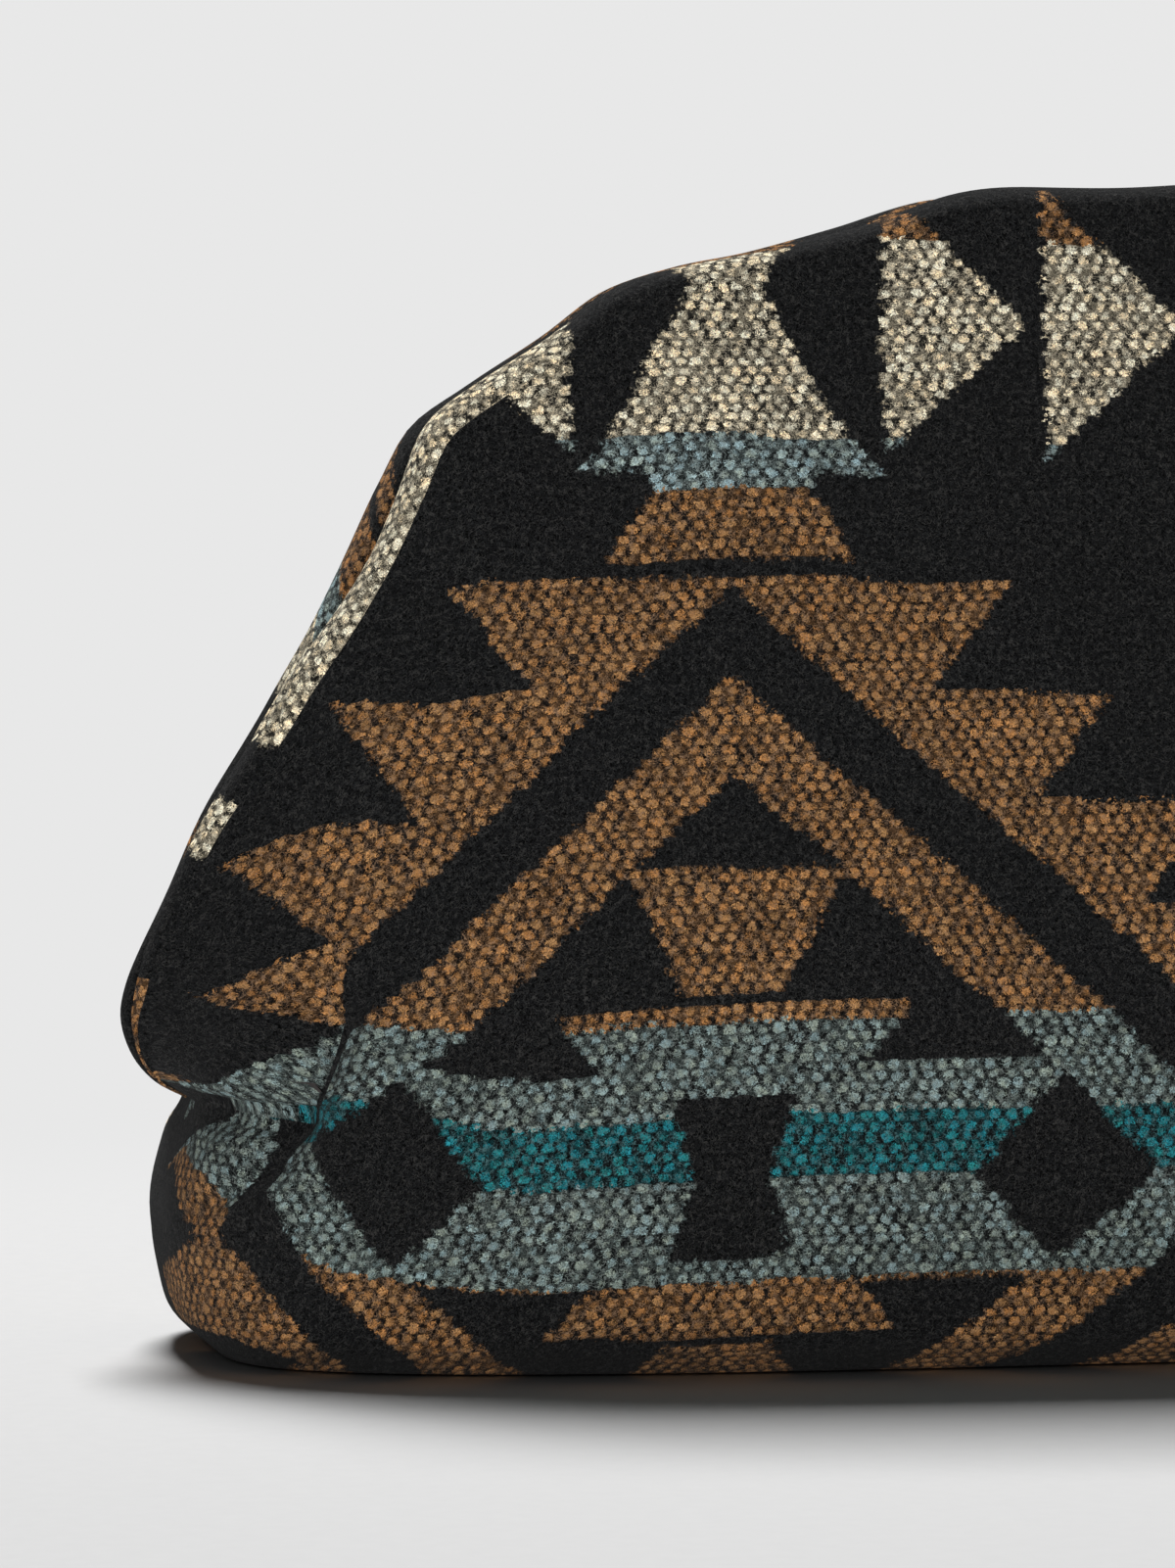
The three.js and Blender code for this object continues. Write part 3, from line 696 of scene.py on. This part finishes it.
class Nodes:
    """A node tree that is written as expressions on node outputs."""

    def __init__(self, tree):
        self.tree = tree

    def set(self, node, sockets):
        for key, value in sockets.items():
            socket = node.inputs[key]
            if isinstance(value, Value):
                self.tree.links.new(value.socket, socket)
            else:
                socket.default_value = value

    def add(self, kind, settings=None, sockets=None, output=0):
        """A node of any kind: its settings are set first, then its sockets' values or links."""
        node = self.tree.nodes.new(kind)
        for key, setting in (settings or {}).items():
            if key == "stops":
                self.fill_ramp(node.color_ramp, setting)
            else:
                setattr(node, key, setting)
        self.set(node, sockets or {})
        return Value(self, node.outputs[output])

    @staticmethod
    def fill_ramp(ramp, stops):
        ramp.interpolation = "CONSTANT"
        while len(ramp.elements) < len(stops):
            ramp.elements.new(1.0)
        for element, (place, colour) in zip(ramp.elements, stops):
            element.position = place
            element.color = (*colour, 1.0)

    def noise(self, vector, scale, detail=2.0, output="Fac", distortion=0.0):
        """A noise in two directions."""
        sockets = {"Vector": vector, "Scale": scale, "Detail": detail, "Distortion": distortion}
        return self.add("ShaderNodeTexNoise", {"noise_dimensions": "2D"}, sockets, output)

    def solid_noise(self, place, scale, detail):
        """A noise in all three directions."""
        sockets = {"Vector": place, "Scale": scale, "Detail": detail}
        return self.add("ShaderNodeTexNoise", None, sockets)

    def white_noise(self, x, y):
        """A number between 0 and 1 for each pair of numbers."""
        pair = self.add("ShaderNodeCombineXYZ", None, {0: x, 1: y})
        return self.add("ShaderNodeTexWhiteNoise", {"noise_dimensions": "2D"}, {"Vector": pair})

    def mix(self, factor, low, high):
        """A colour between two colours."""
        return self.add("ShaderNodeMix", {"data_type": "RGBA"}, {0: factor, 6: low, 7: high}, 2)

    def scaled(self, colour, factor):
        """A colour times a number."""
        sockets = {0: colour, "Scale": factor}
        return self.add("ShaderNodeVectorMath", {"operation": "SCALE"}, sockets)

    def vectors(self, operation, *parts, output=0):
        """The result of an operation on vectors or colours."""
        sockets = dict(enumerate(parts))
        return self.add("ShaderNodeVectorMath", {"operation": operation}, sockets, output)

    def split(self, vector):
        """The first two parts of a vector."""
        x = self.add("ShaderNodeSeparateXYZ", None, {0: vector})
        return x, x.other("Y")

    def strayed(self, place, vector, scale, reach):
        """A place moved by up to half the reach each way, by a noise on a vector."""
        stray = self.noise(vector, scale, 1.0, "Color")
        centre = (-reach / 2, -reach / 2, 0.0)
        moved = self.vectors("MULTIPLY_ADD", stray, (reach, reach, 0.0), centre)
        return self.vectors("ADD", place, moved)

    def strands(self, vector, scale, offset):
        """Thin curled lines, broken into short lengths."""
        aside = self.vectors("ADD", vector, (offset, offset, 0.0))
        line = abs(self.noise(aside, scale) - 0.5)
        shown = self.noise(aside, 0.9, 1.0).smooth(0.45, 0.6)
        return line.smooth(0.0, 0.035, 1.0, 0.0) * shown

    def bump(self, strength, distance, height):
        """Normals of a fine relief."""
        sockets = {"Strength": strength, "Distance": distance, "Height": height}
        return self.add("ShaderNodeBump", None, sockets)

    def seen(self):
        """One where a surface is seen, straight on or in a gloss. Zero where it only gives light."""
        path = self.add("ShaderNodeLightPath", output="Is Camera Ray")
        return path.most(path.other("Is Glossy Ray")).most(path.other("Is Transmission Ray"))

    def show(self, output_name, factor, low, high):
        """Shows a mix of two shaders."""
        mixed = self.add("ShaderNodeMixShader", None, {0: factor, 1: low, 2: high})
        self.tree.links.new(mixed.socket, self.tree.nodes[output_name].inputs["Surface"])


class Finish(Nodes):
    """A material, with its main shader's constant values."""

    def __init__(self, name, **sockets):
        self.material = bpy.data.materials.new(name)
        self.material.use_nodes = True
        super().__init__(self.material.node_tree)
        self.shader = self.tree.nodes["Principled BSDF"]
        self.set(self.shader, sockets)


def figure_mask(across, up):
    """The woven figure: positive inside. Both distances are from the figure's centre."""
    slant = up + across * CHEVRON_SLOPE
    half_width, growth, top = NOTCH
    notch = (across - half_width - abs(up) * growth).most(up - top)
    place, half_width, half_height = LOZENGE
    lozenge = abs(across - place) * (1 / half_width) + up * (1 / half_height)
    band = (BAND_TOP - up).least(notch).least((lozenge - 1.0) * 10.0)
    place, half_width = CHEVRON_GAP
    band = band.least(abs(slant - place) - half_width)
    place, half_width = CHEVRON
    figure = band.most(half_width - abs(slant - place))
    for low, high, half_width, growth in STRIPS:
        above = up - low
        edge = above * growth + half_width - across
        figure = figure.most(above.least(high - up).least(edge))
    tooth = (WING_TOP - up) * (1 / TOOTH_RISE)
    step = tooth.floor()
    along = (tooth - step) * TOOTH_CUT
    saw = step * TOOTH_STEP + WING_REACH - along - across
    wings = (slant - WING_SLANT).least(WING_TOP - up).least(saw)
    figure = figure.most(wings)
    flare = abs(up - TRUNK_WAIST) * TRUNK_FLARE + TRUNK_HALF
    trunk = (up - TRUNK_FOOT).least(flare - across)
    figure = figure.most(trunk)
    past_first = across - ARROWS_FROM
    arrow = ARROW_LENGTH - abs(up - ARROW_MIDDLE) - past_first.math("MODULO", ARROW_PITCH)
    return figure.most(arrow.least(past_first).least(ARROWS_TO - across))


def wool_finish(colours, sizes):
    """Thick felted wool: rows of soft dots, with the figure's yarn over a black ground."""
    pitch = sizes.dot_pitch / MM
    rise = sizes.dot_row / MM
    finish = Finish("patterned_wool", **{
        "Roughness": 0.95, "Specular IOR Level": 0.03, "Sheen Weight": 0.03, "Sheen Roughness": 0.5,
    })
    cloth = finish.add("ShaderNodeUVMap", {"uv_map": WEAVE_MAP})
    drawn = finish.add("ShaderNodeUVMap", {"uv_map": FIGURE_MAP})
    figure_u, figure_v = finish.split(finish.strayed(drawn, cloth, 0.05, 1.6))
    u, v = finish.split(finish.strayed(cloth, cloth, 0.45, 1.0))
    # Each row of dots is shifted against the last one, and the shifts repeat after four rows
    row = (v / rise).floor()
    turn = row - (row / 4.0).floor() * 4.0
    pair = (turn / 2.0).floor()
    shifted = u / pitch + (turn - pair * 2.0) * 0.5 + pair * 0.25
    column = shifted.floor()
    gap_column = (shifted + 0.5).floor()
    stray = finish.add("ShaderNodeSeparateColor", None, {0: finish.noise(cloth, 1.5, 3.0, "Color")})
    side_stray = stray - 0.5
    rise_stray = stray.other("Green") - 0.5
    nudge = finish.white_noise(row + 0.7, column)
    in_column = shifted - column - 0.5 + (nudge - 0.5) * 0.22
    in_gap = shifted - gap_column + side_stray * 0.3
    in_row = v / rise - row - 0.5 + rise_stray * 0.4
    # The figure's edge follows whole dots and strays with the fibres
    aside = figure_u - in_column * (pitch * EDGE_HOLD) + side_stray * EDGE_FRAY - AXIS_U
    level = figure_v - in_row * (rise * EDGE_HOLD) + rise_stray * EDGE_FRAY - AXIS_V
    mask = figure_mask(aside.folded(HALF_REPEAT), level.folded(HALF_RISE)).smooth(-0.3, 0.3)
    height = level.math("WRAP", HALF_RISE, -HALF_RISE) / (2 * HALF_RISE) + 0.5
    stops = [(low / (2 * HALF_RISE) + 0.5, tuple(getattr(colours, name))) for low, name in BANDS]
    yarn = finish.add("ShaderNodeValToRGB", {"stops": stops}, {0: height}, "Color")
    # Dots of yarn with dark holes between, both ragged with fibres
    dot = finish.white_noise(column, row)
    gap = finish.white_noise(gap_column + 0.3, row)
    fluff = finish.noise(cloth, 0.8)
    fibre = finish.noise(cloth, 2.4, 3.0, distortion=1.5)
    fibres = (fibre - 0.5) * FIBRE_SPREAD
    ragged = (fluff - 0.5) * 1.5 + fibres
    tuft = 1.0 - in_column * in_column * 12.0 - in_row * in_row * 6.4
    cover = (tuft + (dot - 0.5) * 0.9 + ragged).smooth(-0.55, 0.85)
    in_hole = 0.85 - in_gap * in_gap * 12.0 - in_row * in_row * 2.5
    hole = (in_hole + (gap - 0.5) * 1.8 - ragged).smooth(-0.3, 0.6)
    grain = (fibres + 1.05).most(0.15)
    tint = finish.mix((nudge - 0.5) * 0.9 + (fluff - 0.5) * 2.0 + 0.5, WARM_YARN, COOL_YARN)
    dyed = finish.vectors("MULTIPLY", yarn, tint)
    lit = finish.scaled(dyed, grain * (dot * 0.6 + 0.85))
    ground = finish.scaled(colours.black, ((fibre - 0.5) * 8.0 + 1.1).most(0.1))
    between = finish.mix((0.22 - hole * 0.2) * grain, ground, yarn)
    figure = finish.mix(cover, between, lit)
    colour = finish.mix(mask, ground, figure)
    # Stray hairs over all of it
    hair, *layers = [finish.strands(cloth, scale, offset) for scale, offset in HAIR_LAYERS]
    for layer in layers:
        hair = hair.most(layer)
    yarn_hair = finish.mix(0.28, finish.scaled(yarn, 1.4), FIGURE_HAIR)
    hair_colour = finish.mix(mask, GROUND_HAIR, yarn_hair)
    colour = finish.mix(hair * 0.75, colour, hair_colour)
    relief = tuft.most(-1.0) * (mask * 0.25 + 0.15) + fibre * 0.8 + hair * 0.5
    normal = finish.bump(0.5, 0.0005, relief)
    finish.set(finish.shader, {"Base Color": colour, "Normal": normal})
    return finish.material


def twill_finish(colours):
    """Charcoal lining twill with fine slanting ribs."""
    finish = Finish("lining_twill", **{
        "Roughness": 0.8, "Specular IOR Level": 0.25, "Sheen Weight": 0.1,
    })
    cloth = finish.add("ShaderNodeUVMap", {"uv_map": WEAVE_MAP})
    u, v = finish.split(cloth)
    wave = finish.noise(cloth, 0.3)
    rib = ((u + v + wave * 1.5) * (1 / RIB_WIDTH)).folded(1.0)
    yarn = finish.noise(cloth, 2.6)
    base = (*colours.lining, 1.0)
    light = tuple(3.0 * c for c in colours.lining) + (1.0,)
    colour = finish.mix(rib * 0.55 + yarn * 0.35, base, light)
    normal = finish.bump(0.35, 0.0003, rib + yarn * 0.4)
    finish.set(finish.shader, {"Base Color": colour, "Normal": normal})
    return finish.material


def metal_finish(name, colour, roughness):
    """Brushed metal with faint wear."""
    finish = Finish(name, Metallic=1.0)
    place = finish.add("ShaderNodeTexCoord", output="Object")
    stretch = {"Vector": place, "Scale": (400.0, 3000.0, 3000.0)}
    brush = finish.solid_noise(finish.add("ShaderNodeMapping", None, stretch), 1.0, 3.0)
    wear = finish.solid_noise(place, 90.0, 4.0)
    dull = tuple(0.6 * c for c in colour) + (1.0,)
    finish.set(finish.shader, {
        "Base Color": finish.mix(wear.smooth(0.35, 0.75), dull, (*colour, 1.0)),
        "Roughness": brush * 0.25 + roughness,
        "Normal": finish.bump(0.15, 0.0001, brush),
    })
    return finish.material


def board_finish():
    """Grey-brown stiffener board with short fibres."""
    finish = Finish("stiffener_board", Roughness=0.9)
    place = finish.add("ShaderNodeTexCoord", output="Object")
    fibre = finish.solid_noise(place, 700.0, 4.0)
    blotch = finish.solid_noise(place, 60.0, 2.0)
    colour = finish.mix(fibre * 0.6 + blotch * 0.4, BOARD_DARK, BOARD_LIGHT)
    normal = finish.bump(0.3, 0.0002, fibre)
    finish.set(finish.shader, {"Base Color": colour, "Normal": normal})
    return finish.material


def wool():
    """The wool material, made once."""
    scene = bpy.context.scene
    made = bpy.data.materials.get("patterned_wool")
    return made or wool_finish(scene.bag_colours, scene.bag_sizes)


def twill():
    """The lining material, made once."""
    return bpy.data.materials.get("lining_twill") or twill_finish(bpy.context.scene.bag_colours)


# Operators


class BAG_OT_base_cloth(bpy.types.Operator):
    """Makes the lower cloth: floor, rounded corners and the wall up to the crease"""

    bl_idname = "bag.base_cloth"
    bl_label = "Lower cloth"

    def execute(self, context):
        front = cloth_half("front")
        back = cloth_half("back")
        end = front.crease + 1
        piece = grid_mesh("base_cloth", [front.rows(0, end), back.rows(0, end, back=True)])
        piece.data.materials.append(wool())
        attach(piece, "base")
        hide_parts("base_panel", "left_gusset", "right_gusset")
        return {"FINISHED"}


class BAG_OT_upper_cloth(bpy.types.Operator):
    """Makes the front and the back cloth from the crease over the rolled edge to the hem"""

    bl_idname = "bag.upper_cloth"
    bl_label = "Upper cloth"

    def execute(self, context):
        for half in HALVES:
            cloth = cloth_half(half)
            back = half == "back"
            face = cloth.rows(cloth.crease, cloth.ridge + 1, back)
            edge = cloth.rows(cloth.ridge, None, back)
            piece = grid_mesh(f"{half}_cloth", [face, edge])
            piece.data.materials.append(wool())
            bend(piece)
            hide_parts(f"{half}_panel")
        return {"FINISHED"}


def bend(piece):
    """Bakes the cloth's placement into its mesh.
    """
    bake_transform(piece)


class BAG_OT_linings(bpy.types.Operator):
    """Makes the linings of both halves and of the base"""

    bl_idname = "bag.linings"
    bl_label = "Linings"

    def execute(self, context):
        sizes = context.scene.bag_sizes
        gap = sizes.lining_gap / MM
        lower = []
        for half in HALVES:
            cloth = cloth_half(half)
            back = half == "back"
            lower.append(self.lower_lining(cloth, gap, back))
            piece = grid_mesh(f"{half}_lining_cloth", [self.upper_lining(cloth, sizes, gap, back)])
            piece.data.materials.append(twill())
            bend(piece)
            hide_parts(f"{half}_lining")
        piece = grid_mesh("base_lining_cloth", lower)
        piece.data.materials.append(twill())
        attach(piece, "base")
        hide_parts("base_lining")
        return {"FINISHED"}

    @staticmethod
    def upper_lining(cloth, sizes, gap, back):
        """The upper lining runs inside the face and turns in to the hem's edge."""
        columns = slice(LINING_ENDS, -LINING_ENDS, 2)
        face = cloth.points[cloth.crease : cloth.crease + FACE_ROWS]
        inside = (face - outward(face) * gap)[::2, columns]
        mouth = mouth_shares(np.linspace(0.0, 1.0, COLUMNS + 1)[columns])
        _, radius, hem = mouth_sizes(mouth, sizes)
        seam = beside_outline(mouth, np.maximum(hem - SEAM_LAP, radius), -MOUTH_GAP - SEAM_BEHIND)
        turn = inside[-1] * 0.4 + seam * 0.6
        points = np.concatenate([inside[:-1], loft([inside[-1], turn, seam], LINING_ROWS)])
        points[..., 1] = np.minimum(points[..., 1], -MIDDLE_ROOM)
        places = (points[..., 0], height_along(points))
        return on_side(points, back), places, places, not back

    @staticmethod
    def lower_lining(cloth, gap, back):
        """The lower lining lies inside the tub, over the stiffener."""
        points, weave, _, _ = cloth.rows(0, cloth.crease + 1)
        points = points[:, ::2].copy()
        places = (weave[0][:, ::2], weave[1][:, ::2])
        points[..., :2] *= 1.0 - gap / np.array(TUB_HALF)
        points[..., 2] = np.maximum(points[..., 2], LINING_FLOOR + 0.1 * points[..., 2])
        return on_side(points, back), places, places, not back


class BAG_OT_fittings(bpy.types.Operator):
    """Gives the frame, rivets, magnets and stiffener their finishes"""

    bl_idname = "bag.fittings"
    bl_label = "Frame and fittings"

    def execute(self, context):
        steel = metal_finish("frame_steel", STEEL, 0.28)
        brass = metal_finish("rivet_brass", BRASS, 0.3)
        board = board_finish()
        for name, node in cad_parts.items():
            finish = None
            if name.endswith("_frame") or "magnet" in name:
                finish = steel
            elif "rivet" in name:
                finish = brass
            elif name == "base_board":
                finish = board
            if finish:
                node.data.materials.clear()
                node.data.materials.append(finish)
        return {"FINISHED"}


class BAG_OT_stage(bpy.types.Operator):
    """Sets the floor, the backdrop, the lamps and the camera"""

    bl_idname = "bag.stage"
    bl_label = "Stage"

    def execute(self, context):
        settings = context.scene.bag_stage
        backdrop = tuple(context.scene.bag_colours.backdrop)
        floor = self.add_floor(backdrop)
        self.light_world(settings, backdrop)
        key = self.add_lamp("key_lamp", *KEY_LAMP, settings.key)
        self.keep_off(key, floor)
        self.add_lamp("top_lamp", *TOP_LAMP, settings.top)
        self.add_camera(settings)
        context.scene.view_settings.view_transform = "Standard"
        return {"FINISHED"}

    @staticmethod
    def add_floor(backdrop):
        """A round paper floor that shows the bag's shadow, and the backdrop's even colour beyond."""
        bpy.ops.mesh.primitive_circle_add(vertices=128, radius=FLOOR_RADIUS, fill_type="NGON")
        floor = bpy.context.object
        floor.name = "studio_floor"
        finish = Finish("studio_paper", **{"Roughness": 1.0, "Specular IOR Level": 0.0})
        place = finish.add("ShaderNodeTexCoord", output="Object")
        round_bag = finish.vectors("MULTIPLY_ADD", place, (0.62, 1.0, 0.0), (0.0, 0.07, 0.0))
        distance = finish.vectors("LENGTH", round_bag, output="Value")
        shaded, plain = [(*(share * c for c in backdrop), 1.0) for share in PAPER_SHARES]
        paper = finish.noise(place, 300.0)
        finish.set(finish.shader, {"Base Color": finish.mix(paper, shaded, plain)})
        glow = finish.add("ShaderNodeEmission", None, {"Color": (*backdrop, 1.0), "Strength": 1.0})
        even = distance.smooth(*SHADOW_FADE) * finish.seen()
        finish.show("Material Output", even, Value(finish, finish.shader.outputs[0]), glow)
        floor.data.materials.append(finish.material)
        return floor

    @staticmethod
    def keep_off(lamp, floor):
        """Lets a lamp light the bag and not the floor, so that the shadow in front stays dark."""
        unlit = bpy.data.collections.new("not_lit_by_key")
        unlit.objects.link(floor)
        lamp.light_linking.receiver_collection = unlit
        unlit.collection_objects[0].light_linking.link_state = "EXCLUDE"

    @staticmethod
    def light_world(settings, backdrop):
        """Faint even light from all round. Where the world is seen, it has the backdrop's colour."""
        world = bpy.data.worlds.new("studio_world")
        bpy.context.scene.world = world
        world.use_nodes = True
        nodes = Nodes(world.node_tree)
        background = world.node_tree.nodes["Background"]
        nodes.set(background, {"Color": (1.0, 1.0, 1.0, 1.0), "Strength": settings.ambient})
        faint = Value(nodes, background.outputs[0])
        even = {"Color": (*backdrop, 1.0), "Strength": 1.0}
        nodes.show("World Output", nodes.seen(), faint, nodes.add("ShaderNodeBackground", None, even))

    @staticmethod
    def add_lamp(name, place, target, size, power):
        bpy.ops.object.light_add(type="AREA", location=place)
        lamp = bpy.context.object
        lamp.name = name
        lamp.data.shape = "RECTANGLE"
        lamp.data.size = size[0]
        lamp.data.size_y = size[1]
        lamp.data.energy = power
        lamp.rotation_euler = (Vector(target) - Vector(place)).to_track_quat("-Z", "Y").to_euler()
        return lamp

    @staticmethod
    def add_camera(settings):
        forward = Vector((
            math.sin(settings.azimuth) * math.cos(settings.elevation),
            math.cos(settings.azimuth) * math.cos(settings.elevation),
            -math.sin(settings.elevation),
        ))
        place = Vector(settings.target) - forward * settings.distance
        bpy.ops.object.camera_add(location=place)
        camera = bpy.context.object
        camera.rotation_euler = forward.to_track_quat("-Z", "Y").to_euler()
        camera.data.lens = settings.lens
        camera.data.sensor_width = 36.0
        camera.data.clip_end = 50.0
        bpy.context.scene.camera = camera


class BAG_PT_panel(bpy.types.Panel):
    """Lists the bag's pieces and their sizes"""

    bl_idname = "BAG_PT_panel"
    bl_label = "Clutch bag"
    bl_space_type = "VIEW_3D"
    bl_region_type = "UI"
    bl_category = "Clutch bag"

    def draw(self, context):
        layout = self.layout
        for operator in OPERATORS:
            layout.operator(operator.bl_idname)
        for group in (context.scene.bag_sizes, context.scene.bag_colours, context.scene.bag_stage):
            for name in group.__annotations__:
                layout.prop(group, name)


GROUPS = {"bag_sizes": BagSizes, "bag_colours": BagColours, "bag_stage": StageSettings}
OPERATORS = (BAG_OT_base_cloth, BAG_OT_upper_cloth, BAG_OT_linings, BAG_OT_fittings, BAG_OT_stage)


def register():
    for kind in (*GROUPS.values(), *OPERATORS, BAG_PT_panel):
        bpy.utils.register_class(kind)
    for name, group in GROUPS.items():
        setattr(bpy.types.Scene, name, PointerProperty(type=group))


def unregister():
    for name in GROUPS:
        delattr(bpy.types.Scene, name)
    for kind in reversed((*GROUPS.values(), *OPERATORS, BAG_PT_panel)):
        bpy.utils.unregister_class(kind)


def main():
    register()
    bpy.ops.bag.base_cloth()
    bpy.ops.bag.upper_cloth()
    bpy.ops.bag.linings()
    bpy.ops.bag.fittings()
    bpy.ops.bag.stage()


if __name__ == "__main__":
    main()
